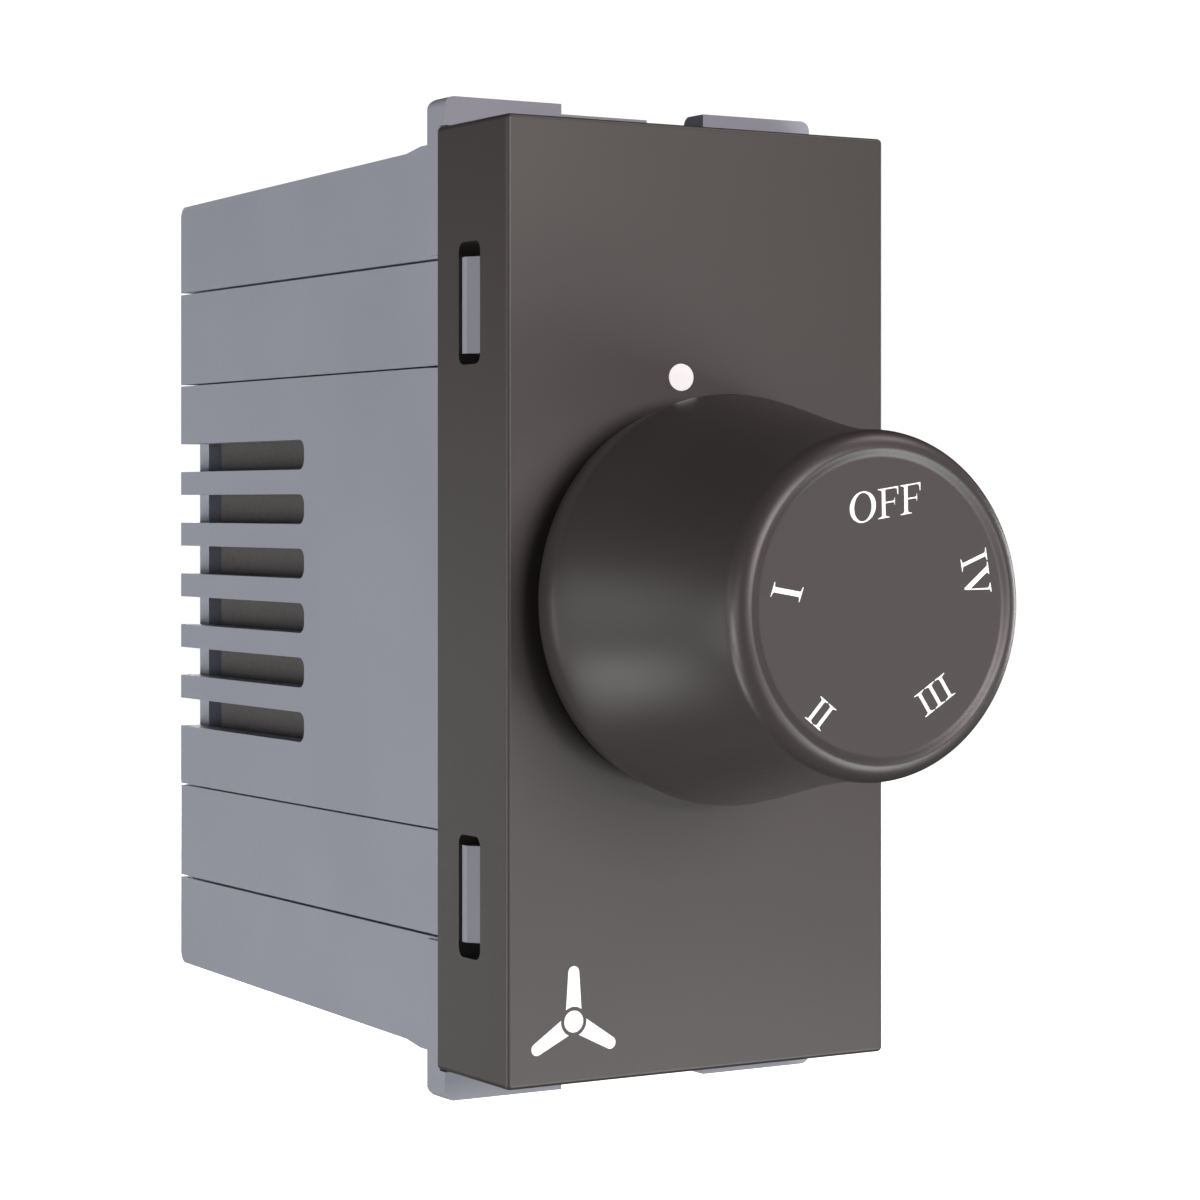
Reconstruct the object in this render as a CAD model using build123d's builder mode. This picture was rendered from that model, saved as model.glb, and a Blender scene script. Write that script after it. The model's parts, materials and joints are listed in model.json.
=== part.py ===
from build123d import *
import os
from math import cos, radians, sin

# One-module rotary fan speed switch. Millimetres, X to the right, Y to the rear, Z up.
# The origin is the centre of the module on the plane where the rear of the lugs
# meets the mounting frame. The front face looks towards -Y.

# Front cover
cover_width = 21.3
cover_height = 45.0
cover_depth = 6.7
cover_wall = 1.2
cover_front_wall = 1.5
cover_edge_radius = 0.25
cover_front_radius = 0.2
cover_rib_depth = 0.8
cover_rib_width = 0.8
arm_rib_gap = 0.4            # between the ribs and the hooked arms
window_depth = 2.07          # side windows that the hooks of the housing click into
window_play = 0.61           # room in a window above and below its hook
window_shift = 0.07          # the windows lie this much outward of their hooks
window_radius = 0.45
window_rim = 2.08            # cover wall left behind each window

# Chassis: frame behind the cover, lugs, snap latches and the two end boxes
flange_thickness = 1.3
flange_proud = 0.13
flange_bevel = 0.12
flange_setback = 0.05        # the lugs alone bear on the mounting frame
strip_shift = 0.25           # the breaks in the side strips lie this much above the arms
lug_rise = 1.45
lug_overlap = 0.5
lug_gap = 8.2
lug_radius = 0.5
frame_rim = 1.1              # thickness of the mounting frame held behind the lugs
latch_width = 5.2
latch_length = 7.0
latch_ramp = 4.2
latch_slot = 0.5
latch_flat = 0.5
latch_drop = 0.1             # below the top of the lugs
latch_sink = 0.08            # below the skin of the body
latch_root = 1.0
body_side_step = 0.25        # the body is narrower than the cover by this on each side
body_end_step = 0.9
body_side_taper = 0.1        # from front to rear, on each side
body_end_taper = 0.6
body_depth = 29.5
body_wall = 1.25
rear_wall = 1.2
rear_edge_radius = 0.6
collar_rise = 0.18
collar_depth = 0.9
collar_slope = 1.5
spigot_wall = 0.65
spigot_depth = 1.9
spigot_clearance = 0.1
peg_radius = 1.1
peg_x = 6.6
peg_inset = 1.4              # from the end of the board

# Rear housing: vented middle part with four hooked arms
band_drop = 6.3              # from the end of the cover to the parting line
seam = 0.12
arm_seam = 0.09
arm_height = 5.0
arm_wall = 1.15
arm_notch_gap = 0.15         # behind an arm, in the frame
arm_step_gap = 0.05          # behind the cover's rear edge
arm_foot = 0.3               # where the arms leave the side walls
arm_slope_start = 0.9
arm_slope_end = 2.6
hook_step = 0.45             # the hook is this much lower than its arm
hook_recess = 0.15
hook_flat = 0.45
hook_gap = 0.07
hook_reach = 1.95            # how far the hook runs forward of the rear edge of its window
arm_tip = 0.7
arm_tip_lean = 0.35
vent_count = 6
vent_pitch = 2.825
vent_height = 1.55
vent_length = 15.7
vent_radius = 0.55
rear_rib_width = 1.0
rear_rib_x = 5.0
rear_rib_height = 18.0

# Capacitor cup, capacitors and circuit board
cup_gap = 0.25               # between the cup and the inside of the side walls
cup_wall = 1.0
cup_rear_gap = 0.8
rear_rib_gap = 0.1
cup_edge_radius = 0.4
capacitor_gap = 0.3
capacitor_edge_radius = 0.7
capacitor_front_gap = 1.6
capacitor_lead_radius = 0.4
capacitor_lead_span = 10.0
lead_sink = 0.5
board_side_gap = 0.55
board_end_gap = 3.4          # from the outside of the body at its front
board_thickness = 1.6
board_gap = 1.2              # behind the base of the rotary switch
pin_poke = 0.5
hole_gap = 0.08              # around soldered pins

# Rotary switch
switch_gap = 0.2             # inside the cover's spigot
switch_depth = 6.5
switch_wall = 0.9
switch_front_wall = 1.2
switch_corner = 1.2
switch_front_gap = 0.1
switch_base_thickness = 1.6
snout_radius = 4.5
snout_setback = 0.3
snout_clearance = 0.15
post_radius = 1.4
post_inset = 1.6
rivet_radius = 0.6
rivet_head_radius = 1.0
rivet_head = 0.35
shaft_radius = 3.0
shaft_flat = 2.0             # distance of the flat from the axis
shaft_end_gap = 1.0          # between the shaft end and the front wall of the knob
run_clearance = 0.05
stub_radius = 1.25
stub_end_gap = 0.2
shaft_chamfer = 0.4
star_wall_gap = 1.6          # between the star and the wall of the switch
star_thickness = 1.8
star_gap = 0.2
notch_radius = 1.1
notch_offset = 0.4
stop_disc_step = 1.1         # the disc is smaller than the star by this
stop_disc_thickness = 1.6
stop_lug_wall_gap = 0.6
stop_lug_angle = 24.0
stop_lug_sink = 0.6
stop_middle_angle = 90.0     # clockwise from the top
stop_block_gap = 0.5         # degrees left on each side of the stop block
stop_disc_gap = 0.25
stop_block_sink = 0.2
position_count = 5           # OFF and four speeds
position_angle = 72.0
leaf_thickness = 0.25
leaf_width = 1.5
leaf_post_gap = 0.5
leaf_end = 0.6
leaf_lift = 0.5
leaf_shoulder = 1.9
leaf_floor_gap = 0.1
leaf_bump_half = 0.8
leaf_bump_flat = 0.4
leaf_bump_drop = 0.4
leaf_bump_gap = 0.2
wiper_thickness = 0.25
wiper_ring_outer = 3.6
wiper_ring_inner = 1.7
wiper_width = 1.4
wiper_root = 0.8
wiper_heel = 0.1
wiper_slope = 1.3            # of its thickness, along the depth
wiper_toe = 0.7
wiper_toe_depth = 0.5
wiper_toe_skew = 0.15
pad_wall_gap = 2.4           # between the circle of contacts and the wall of the switch
pad_radius = 0.9
pad_head = 0.3
pad_gap = 0.05
pin_width = 0.8
common_outer = 3.0
common_inner = 2.1

# Knob
knob_base_gap = 0.5
knob_base_radius = 9.33
knob_crease_radius = 9.67
knob_crease = 2.46           # from the cover to the crease of the skirt
crease_pull = 0.14           # share of its length that the curve holds its direction at the crease
neck_pull = 0.385
knob_front_radius = 7.79
knob_reach = 14.71           # from the cover to the front face
knob_front_edge = 0.9        # radius of the rounded rim
knob_rim_flats = 4           # cones that the rounded rim is turned from
knob_face_recess = 0.12
knob_face_rim = 0.79
knob_wall = 1.2
knob_waist_share = 0.7       # how far along its depth the inside narrows to the neck
knob_face_wall = 1.4
hub_radius = 4.6
hub_bore_gap = 0.02
hub_start = 1.0              # from the cover to the rear of the hub
hub_slit_width = 0.7         # lets the clip squeeze the hub on the shaft
hub_slit_length = 5.0
knob_rib_count = 6
knob_rib_width = 0.8
knob_rib_start = 4.5
knob_rib_turn = 30.0
clip_width = 1.6
clip_thickness = 0.35
clip_start = 1.0
clip_opening = 50.0
clip_gap = 0.05
clip_fit = 0.01

# Terminals
terminal_cup_gap = 0.1
terminal_width = 6.0
terminal_length = 9.0
terminal_floor = 0.8
terminal_rear_gap = 0.8
terminal_chamfer = 0.3
wire_bore_radius = 1.7
wire_entry_radius = 2.2
terminal_top = 1.9           # threaded wall over the pressure plate
plate_half_width = 1.05
plate_length = 4.0
plate_thickness = 0.6
plate_clearance = 0.07
screw_shank_radius = 1.45
screw_head_radius = 2.2
screw_head = 0.9
screw_travel = 2.2
screw_head_sink = 0.03       # below the skin of the body
screw_slot_width = 0.6
screw_slot_depth = 0.5
screw_cross_share = 1.3      # length of the short slot over the head's radius
screw_chamfer = 0.15
tower_wall = 0.9
tower_clearance = 0.25
tower_gap = 0.1              # above the terminal block
tower_mouth = 0.5
fin_wall = 0.9
fin_gap = 0.1
fin_rear_gap = 0.1
strap_width = 3.0
strap_thickness = 0.6
strap_drop = 1.04            # from the top of the terminal block to the middle of the strap
strap_foot_gap = 0.2         # above the wire bore
strap_bend = 0.5

# Resistors
series_radius = 1.6
series_length = 9.0
bleed_radius = 1.1
bleed_length = 6.0
resistor_lead_radius = 0.35
resistor_lead_run = 1.3
resistor_gap = 0.2
resistor_cap = 0.22          # length of each end cap, as a share of the body
resistor_waist = 0.88        # radius between the caps, as a share of theirs
series_height = 2.6          # above the board
bleed_height = 6.8

# Small inner rounds that repeat are drawn with this many flats
small_sides = 8

# Cuts run this far past the faces that they open
overshoot = 1.0

# Depths and half sizes worked out from the values above
cover_rear_y = -flange_thickness
cover_front_y = cover_rear_y - cover_depth
cover_inner_y = cover_front_y + cover_front_wall
cover_inner_half = cover_width / 2 - cover_wall
cover_top_z = cover_height / 2
band_half = cover_top_z - band_drop
window_rear_y = cover_rear_y - window_rim
body_width_front = cover_width - 2 * body_side_step
body_height_front = cover_height - 2 * body_end_step
body_half_front = body_width_front / 2
body_inner_half = body_half_front - body_wall
rear_inner_y = body_depth - rear_wall
lug_top_z = cover_top_z + lug_rise
flange_half = body_half_front + flange_proud
arm_low = band_half - seam / 2 - arm_height
arm_high = band_half - seam / 2
hook_low = arm_low + hook_step
hook_middle = (hook_low + arm_high) / 2
window_middle = hook_middle + window_shift
window_height = arm_high - hook_low + 2 * window_play
arm_outer_half = cover_inner_half - spigot_clearance
arm_inner_half = arm_outer_half - arm_wall
switch_size = 2 * (cover_inner_half - spigot_clearance - spigot_wall - switch_gap)
switch_inner_half = switch_size / 2 - switch_wall
switch_front_y = cover_inner_y + switch_front_gap
switch_rear_y = switch_front_y + switch_depth
base_rear_y = switch_rear_y + switch_base_thickness
board_front_y = base_rear_y + board_gap
board_rear_y = board_front_y + board_thickness
board_width = 2 * (body_inner_half - board_side_gap)
board_height = body_height_front - 2 * board_end_gap
peg_z = board_height / 2 - peg_inset
cup_half_width = body_inner_half - cup_gap
cup_rear_y = rear_inner_y - cup_rear_gap
capacitor_front_y = board_rear_y + capacitor_front_gap
capacitor_rear_y = cup_rear_y - cup_wall - capacitor_gap
star_radius = switch_inner_half - star_wall_gap
stop_disc_radius = star_radius - stop_disc_step
stop_lug_reach = switch_inner_half - stop_lug_wall_gap
pad_circle = switch_inner_half - pad_wall_gap
star_front_y = switch_front_y + switch_front_wall + star_gap
star_rear_y = star_front_y + star_thickness
disc_rear_y = star_rear_y + stop_disc_thickness
pad_middle = (common_outer + common_inner) / 2
post_place = switch_size / 2 - post_inset
pad_front_y = switch_rear_y - pad_head
knob_rear_y = cover_front_y - knob_base_gap
knob_front_y = cover_front_y - knob_reach
shaft_front_y = knob_front_y + knob_face_wall + shaft_end_gap
hub_rear_y = cover_front_y - hub_start
block_rear_y = rear_inner_y - terminal_rear_gap
block_front_y = block_rear_y - terminal_length
terminal_y = (block_front_y + block_rear_y) / 2
head_top_z = body_height_front / 2 - body_end_taper * terminal_y / body_depth - screw_head_sink
head_low_z = head_top_z - screw_head
block_high_z = head_low_z - screw_travel - plate_clearance
strap_height = block_high_z - strap_drop
pocket_top_z = block_high_z - terminal_top
plate_top_z = pocket_top_z - plate_clearance
plate_low_z = plate_top_z - plate_thickness
wire_bore_z = plate_low_z - plate_clearance - wire_bore_radius
block_low_z = wire_bore_z - wire_bore_radius - terminal_floor
cup_half_height = block_low_z - terminal_cup_gap
capacitor_height = cup_half_height - cup_wall - 1.5 * capacitor_gap
capacitor_middle = (capacitor_height + capacitor_gap) / 2
series_z = cup_half_height + resistor_gap + series_radius
bleed_z = strap_height - strap_thickness / 2 - resistor_gap - bleed_radius


def front_plane(depth):
    """Plane square to the depth axis at this depth, drawn as seen from the front."""
    return Plane.XZ.offset(-depth)


def around(radius, angle):
    """Point on a circle about the knob axis, clockwise from the top as seen from the front."""
    return (radius * sin(radians(angle)), radius * cos(radians(angle)))


def save(builder, name):
    builder.part.label = name
    export_step(builder.part, f"parts/{name}.step")


def small_round(radius):
    """Sketch of a small inner round with flats, which keeps its many copies light."""
    with BuildSketch() as outline:
        RegularPolygon(radius, side_count=small_sides)
    return outline.sketch


def ring_sector(inner, outer, middle_angle, width_angle):
    """Sector of a ring about the knob axis, in clockwise angles from the top."""
    start = middle_angle - width_angle / 2
    end = middle_angle + width_angle / 2
    with BuildSketch() as sector:
        with BuildLine():
            arc_out = ThreePointArc(around(outer, start), around(outer, middle_angle), around(outer, end))
            arc_in = ThreePointArc(around(inner, start), around(inner, middle_angle), around(inner, end))
            Line(arc_out @ 0, arc_in @ 0)
            Line(arc_out @ 1, arc_in @ 1)
        make_face()
    return sector.sketch


def end_half(depth):
    """Half height of the body's outside at this depth."""
    return body_height_front / 2 - body_end_taper * depth / body_depth


def side_half(depth):
    """Half width of the body's outside at this depth."""
    return body_half_front - body_side_taper * depth / body_depth


def body_block(front_y, inset=0.0):
    """Tapered block of the body: the whole outside, or the inside when an inset is given."""
    rear_y = rear_inner_y if inset else body_depth
    wide, wide_rear = side_half(front_y) - inset, side_half(rear_y) - inset
    high, high_rear = end_half(front_y) - inset, end_half(rear_y) - inset
    with BuildPart() as block:
        with BuildSketch(Plane.XY):
            with BuildLine():
                Polyline((-wide, front_y), (wide, front_y),
                         (wide_rear, rear_y), (-wide_rear, rear_y), close=True)
            make_face()
        extrude(amount=cover_height, both=True)
        with BuildSketch(Plane.YZ):
            with BuildLine():
                Polyline((front_y, -high), (front_y, high),
                         (rear_y, high_rear), (rear_y, -high_rear), close=True)
            make_face()
        extrude(amount=cover_width, both=True, mode=Mode.INTERSECT)
        if not inset:
            rear_face = block.faces().sort_by(Axis.Y)[-1]
            fillet(rear_face.edges().filter_by(Axis.X), rear_edge_radius)
    return block.part


def make_front_cover():
    """Moulded cap: face, side walls with hook windows, hole for the switch snout, ribs."""
    inner_height = cover_height - 2 * cover_wall
    rib_place = (switch_size + inner_height) / 4
    with BuildPart() as cover:
        with BuildSketch(front_plane(cover_front_y)):
            Rectangle(cover_width, cover_height)
        extrude(amount=-cover_depth)
        fillet(cover.edges().filter_by(Axis.Y), cover_edge_radius)
        fillet(cover.faces().sort_by(Axis.Y)[0].edges(), cover_front_radius)
        with BuildSketch(front_plane(cover_inner_y)):
            Rectangle(2 * cover_inner_half, inner_height)
        extrude(amount=-(cover_depth - cover_front_wall), mode=Mode.SUBTRACT)
        with BuildSketch(front_plane(cover_inner_y)):
            with Locations((0, rib_place), (0, -rib_place)):
                Rectangle(2 * (arm_inner_half - arm_rib_gap), cover_rib_width)
                Rectangle(cover_rib_width, rib_place - switch_size / 4)
        extrude(amount=-cover_rib_depth)
        with BuildSketch(front_plane(cover_front_y)):
            Circle(snout_radius + snout_clearance)
        extrude(amount=-cover_front_wall, mode=Mode.SUBTRACT)
        with BuildSketch(Plane.YZ):
            with GridLocations(0, 2 * window_middle, 1, 2):
                with Locations((window_rear_y - window_depth / 2, 0)):
                    RectangleRounded(window_depth, window_height, window_radius)
        extrude(amount=cover_width, both=True, mode=Mode.SUBTRACT)
    save(cover, "front_cover")


def build_lug_pair(side):
    """The two lugs above (side 1) or below (side -1) the cover, which rest on the mounting frame."""
    lug_low_z = cover_top_z - cover_wall
    lug_front_plane = front_plane(cover_rear_y - lug_overlap)
    with BuildPart() as lugs:
        with BuildSketch(lug_front_plane):
            with Locations((0, side * (lug_low_z + lug_top_z) / 2)):
                with GridLocations(flange_half + lug_gap / 2, 0, 2, 1):
                    Rectangle(flange_half - lug_gap / 2, lug_top_z - lug_low_z)
        extrude(amount=-(flange_thickness + lug_overlap))
        tops = lugs.faces().filter_by(Axis.Z).sort_by(lambda face: side * face.center().Z)[-2:]
        rear_edges = [face.edges().sort_by(Axis.Y)[-1] for face in tops]
        outer_edges = [face.edges().filter_by(Axis.Y).sort_by(lambda edge: abs(edge.center().X))[-1]
                       for face in tops]
        fillet(rear_edges + outer_edges, lug_radius)
        # the end wall of the cover runs under the overlap
        with BuildSketch(lug_front_plane):
            Rectangle(cover_width + 2 * overshoot, cover_height + spigot_clearance)
        extrude(amount=-lug_overlap, mode=Mode.SUBTRACT)
    return lugs.part


def build_frame_plate():
    """Plate behind the cover with proud side strips, bevelled edges, lugs and the cover's spigot."""
    strip_low = arm_low + strip_shift
    strip_high = arm_high + strip_shift
    spigot_half = cover_inner_half - spigot_clearance
    spigot_height = cover_height - 2 * (cover_wall + spigot_clearance)
    lug_pairs = [build_lug_pair(1), build_lug_pair(-1)]
    with BuildPart() as plate:
        with BuildSketch(front_plane(cover_rear_y)):
            Rectangle(body_width_front, cover_height)
            Rectangle(2 * flange_half, 2 * strip_low)
            with GridLocations(0, strip_high + cover_top_z, 1, 2):
                Rectangle(2 * flange_half, cover_top_z - strip_high)
        extrude(amount=-(flange_thickness - flange_setback))
        front_edges = plate.faces().sort_by(Axis.Y)[0].edges().filter_by(Axis.Z)
        chamfer(front_edges.group_by(lambda edge: abs(edge.center().X))[-1], flange_bevel)
        add(lug_pairs)
        with BuildSketch(front_plane(cover_rear_y - spigot_depth)):
            Rectangle(2 * spigot_half, spigot_height)
            Rectangle(2 * (spigot_half - spigot_wall), spigot_height - 2 * spigot_wall, mode=Mode.SUBTRACT)
        extrude(amount=-spigot_depth)
    return plate.part


def build_latch(side):
    """Snap latch above or below the body: a tongue with a ramp and a square front."""
    root_y = frame_rim + latch_length
    base_z = body_height_front / 2 - body_wall
    tip_z = lug_top_z - latch_drop
    with BuildPart() as latch:
        with BuildSketch(Plane.YZ):
            with BuildLine():
                Polyline((frame_rim, side * base_z),
                         (frame_rim, side * tip_z),
                         (frame_rim + latch_flat, side * tip_z),
                         (frame_rim + latch_ramp, side * (end_half(frame_rim + latch_ramp) - latch_sink)),
                         (root_y + latch_root, side * (end_half(root_y + latch_root) - latch_sink)),
                         (root_y + latch_root, side * base_z),
                         close=True)
            make_face()
        extrude(amount=latch_width / 2, both=True)
    return latch.part


def make_chassis():
    """Frame with lugs, spigot and snap latches, and the closed box at each end."""
    outside = body_block(-flange_setback)
    inside = body_block(-flange_setback, body_wall)
    frame_plate = build_frame_plate()
    latches = [build_latch(1), build_latch(-1)]
    collar_base_z = body_height_front / 2 - collar_rise
    collar_top_z = body_height_front / 2 + collar_rise
    collar_end_y = collar_depth + collar_slope
    notch_inner = arm_inner_half - arm_notch_gap
    notch_outer = flange_half + overshoot
    tower_radius = screw_head_radius + tower_clearance
    roof_z = end_half(terminal_y) - body_wall / 2
    fin_length = rear_inner_y - fin_rear_gap - block_front_y
    peg = small_round(peg_radius)
    with BuildPart() as chassis:
        add(outside)
        add(inside, mode=Mode.SUBTRACT)
        with BuildSketch(front_plane(-overshoot)):
            Rectangle(cover_width + 2 * overshoot, 2 * band_half + seam)
        extrude(amount=-(body_depth + 2 * overshoot), mode=Mode.SUBTRACT)
        # collar where the end boxes meet the frame
        for side in (1, -1):
            with BuildSketch(Plane.YZ):
                with BuildLine():
                    Polyline((-flange_setback, side * collar_base_z),
                             (-flange_setback, side * collar_top_z),
                             (collar_depth, side * collar_top_z),
                             (collar_end_y, side * end_half(collar_end_y)),
                             (collar_end_y, side * collar_base_z),
                             close=True)
                make_face()
            extrude(amount=body_half_front, both=True)
        add(frame_plate)
        # opening for the rotary switch and notches for the hooked arms
        with BuildSketch(front_plane(cover_rear_y - spigot_depth)):
            Rectangle(switch_size + 2 * spigot_clearance, switch_size + 2 * spigot_clearance)
            with GridLocations(notch_inner + notch_outer, arm_low + arm_high, 2, 2):
                Rectangle(notch_outer - notch_inner, arm_height + 2 * seam)
        extrude(amount=-(spigot_depth + flange_thickness), mode=Mode.SUBTRACT)
        # pegs that the circuit board rests on
        with BuildSketch(front_plane(-flange_setback)):
            with GridLocations(2 * peg_x, 2 * peg_z, 2, 2):
                add(peg)
        extrude(amount=-(board_front_y + flange_setback))
        # slots that free the snap latches
        with BuildSketch(front_plane(0)):
            with GridLocations(0, body_height_front, 1, 2):
                Rectangle(latch_width + 2 * latch_slot, 3 * body_wall)
        extrude(amount=-(frame_rim + latch_length), mode=Mode.SUBTRACT)
        add(latches)
        # screw towers and the fins that hold the terminals
        for side in (1, -1):
            with BuildSketch(Plane.XY.offset(side * (block_high_z + tower_gap))):
                with Locations((0, terminal_y)):
                    Circle(tower_radius + tower_wall)
            extrude(amount=side * (roof_z - block_high_z - tower_gap))
            with BuildSketch(Plane.XY.offset(side * block_low_z)):
                with Locations((0, block_front_y + fin_length / 2)):
                    with GridLocations(terminal_width + 2 * fin_gap + fin_wall, 0, 2, 1):
                        Rectangle(fin_wall, fin_length)
            extrude(amount=side * (roof_z - block_low_z))
            with BuildSketch(Plane.XY.offset(side * (block_high_z - tower_mouth))):
                with Locations((0, terminal_y)):
                    Circle(tower_radius)
            extrude(amount=side * (lug_top_z - block_high_z), mode=Mode.SUBTRACT)
    save(chassis, "chassis")


def build_arm(hand, side):
    """Hooked arm: straight through the frame, then stepped in behind the wall of the cover."""
    hook_out = cover_width / 2 - hook_recess
    hook_rear_y = window_rear_y - hook_gap
    hook_front_y = window_rear_y - hook_reach
    step_y = cover_rear_y + arm_step_gap
    tip_y = hook_front_y - arm_tip
    root_out = body_inner_half + arm_foot
    root = [(body_half_front, arm_foot), (body_half_front, step_y), (arm_inner_half, step_y),
            (arm_inner_half, arm_slope_start), (body_inner_half, arm_slope_end),
            (root_out, arm_slope_end), (root_out, arm_foot)]
    hook = [(arm_outer_half, step_y), (arm_outer_half, hook_rear_y), (hook_out, hook_rear_y),
            (hook_out, hook_rear_y - hook_flat), (arm_outer_half, hook_front_y),
            (arm_outer_half - arm_tip_lean, tip_y), (arm_inner_half, tip_y), (arm_inner_half, step_y)]
    with BuildPart() as arm:
        for low_z, points in ((arm_low, root), (hook_low, hook)):
            with BuildSketch(Plane.XY.offset(side * low_z)):
                with BuildLine():
                    Polyline([(hand * x, y) for x, y in points], close=True)
                make_face()
            extrude(amount=side * (arm_high - low_z))
    return arm.part


def make_rear_housing():
    """Middle part: vented side walls, rear wall with wire entries, four hooked arms."""
    outside = body_block(0)
    arms = [build_arm(hand, side) for hand in (1, -1) for side in (1, -1)]
    wall_start_y = arm_step_gap
    with BuildPart() as housing:
        # the band of the body between the two parting lines, open to the front
        add(outside)
        with BuildSketch(front_plane(-overshoot)):
            Rectangle(2 * body_inner_half, cover_height)
            with GridLocations(0, 2 * arm_high + cover_height, 1, 2):
                Rectangle(cover_width + 2 * overshoot, cover_height)
        extrude(amount=-(rear_inner_y + overshoot), mode=Mode.SUBTRACT)
        with BuildSketch(front_plane(rear_inner_y)):
            with GridLocations(0, 2 * arm_high + cover_height, 1, 2):
                Rectangle(cover_width + 2 * overshoot, cover_height)
        extrude(amount=-(rear_wall + overshoot), mode=Mode.SUBTRACT)
        with BuildSketch(front_plane(0)):
            Rectangle(cover_width, cover_height)
        extrude(amount=-wall_start_y, mode=Mode.SUBTRACT)
        # slits that free the arms
        with BuildSketch(front_plane(0)):
            with GridLocations(2 * (body_inner_half + cover_wall), 2 * arm_low - arm_seam, 2, 2):
                Rectangle(2 * cover_wall, arm_seam)
        extrude(amount=-(body_depth + overshoot), mode=Mode.SUBTRACT)
        add(arms)
        # vents, open through the rear corners
        with BuildSketch(Plane.YZ):
            with Locations((body_depth + (overshoot - vent_length) / 2, 0)):
                with GridLocations(0, vent_pitch, 1, vent_count):
                    RectangleRounded(vent_length + overshoot, vent_height, vent_radius)
        extrude(amount=cover_width, both=True, mode=Mode.SUBTRACT)
        # the rear wall stands between the vented sides, with two ribs behind the cup
        with BuildSketch(front_plane(rear_inner_y)):
            Rectangle(2 * body_inner_half, 2 * arm_high)
        extrude(amount=-rear_wall)
        with BuildSketch(front_plane(cup_rear_y + rear_rib_gap)):
            with GridLocations(2 * rear_rib_x, 0, 2, 1):
                Rectangle(rear_rib_width, rear_rib_height)
        extrude(amount=-(rear_inner_y - cup_rear_y - rear_rib_gap))
        # wire entries
        with BuildSketch(front_plane(rear_inner_y - overshoot)):
            with GridLocations(0, 2 * wire_bore_z, 1, 2):
                Circle(wire_entry_radius)
        extrude(amount=-(rear_wall + 2 * overshoot), mode=Mode.SUBTRACT)
    save(housing, "rear_housing")


def make_capacitor_cup():
    """Dark cup behind the vents that carries the two capacitors."""
    cup_depth = cup_rear_y - board_rear_y
    with BuildPart() as cup:
        with BuildSketch(front_plane(board_rear_y)):
            Rectangle(2 * cup_half_width, 2 * cup_half_height)
        extrude(amount=-cup_depth)
        fillet(cup.faces().sort_by(Axis.Y)[-1].edges(), cup_edge_radius)
        with BuildSketch(front_plane(board_rear_y)):
            Rectangle(2 * (cup_half_width - cup_wall), 2 * (cup_half_height - cup_wall))
        extrude(amount=-(cup_depth - cup_wall), mode=Mode.SUBTRACT)
    save(cup, "capacitor_cup")


def make_capacitor(name, side):
    """Box capacitor in its half of the cup, with two leads through the board."""
    lead = small_round(capacitor_lead_radius)
    with BuildPart() as capacitor:
        with BuildSketch(front_plane(capacitor_front_y)):
            with Locations((0, side * capacitor_middle)):
                Rectangle(2 * (cup_half_width - cup_wall - capacitor_gap), capacitor_height)
        extrude(amount=-(capacitor_rear_y - capacitor_front_y))
        fillet(capacitor.edges().filter_by(Axis.Y), capacitor_edge_radius)
        with BuildSketch(front_plane(board_front_y - pin_poke)):
            with Locations((0, side * capacitor_middle)):
                with GridLocations(capacitor_lead_span, 0, 2, 1):
                    add(lead)
        extrude(amount=-(capacitor_front_y + lead_sink - board_front_y + pin_poke))
    save(capacitor, name)


def pin_places():
    """Where the pins of the four speed contacts and of the common ring go through."""
    speeds = [around(pad_circle, position_angle * step) for step in range(1, position_count)]
    return speeds + [(0, -pad_middle)]


def make_circuit_board():
    """Board with holes for the switch pins, the capacitors, the straps and the resistors."""
    pin_hole = pin_width + 2 * hole_gap
    with BuildPart() as board:
        with BuildSketch(front_plane(board_front_y)):
            Rectangle(board_width, board_height)
            with Locations(*pin_places()):
                Rectangle(pin_hole, pin_hole, mode=Mode.SUBTRACT)
            with GridLocations(capacitor_lead_span, 2 * capacitor_middle, 2, 2):
                add(small_round(capacitor_lead_radius + hole_gap), mode=Mode.SUBTRACT)
            with GridLocations(0, 2 * strap_height, 1, 2):
                Rectangle(strap_width + 2 * hole_gap, strap_thickness + 2 * hole_gap, mode=Mode.SUBTRACT)
            for length, place_z in ((series_length, series_z), (bleed_length, bleed_z)):
                with GridLocations(length + 2 * resistor_lead_run, 2 * place_z, 2, 2):
                    add(small_round(resistor_lead_radius + hole_gap), mode=Mode.SUBTRACT)
        extrude(amount=-board_thickness)
    save(board, "circuit_board")


def make_resistor(name, place_z, radius, length, height):
    """Axial resistor lying across the board, with both leads bent forward into it."""
    lead_x = length / 2 + resistor_lead_run
    depth = board_rear_y + height
    cap_length = resistor_cap * length
    waist = small_round(resistor_waist * radius)
    cap = small_round(radius)
    lead = small_round(resistor_lead_radius)
    with BuildPart() as resistor:
        with BuildSketch(Plane((-length / 2, depth, place_z), z_dir=(1, 0, 0))):
            add(waist)
        extrude(amount=length)
        for start_x in (-length / 2, length / 2 - cap_length):
            with BuildSketch(Plane((start_x, depth, place_z), z_dir=(1, 0, 0))):
                add(cap)
            extrude(amount=cap_length)
        with BuildLine():
            route = Polyline((-lead_x, board_front_y - pin_poke, place_z), (-lead_x, depth, place_z),
                             (lead_x, depth, place_z), (lead_x, board_front_y - pin_poke, place_z))
        with BuildSketch(Plane(route @ 0, z_dir=route % 0)):
            add(lead)
        sweep(transition=Transition.RIGHT)
    save(resistor, name)


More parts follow.
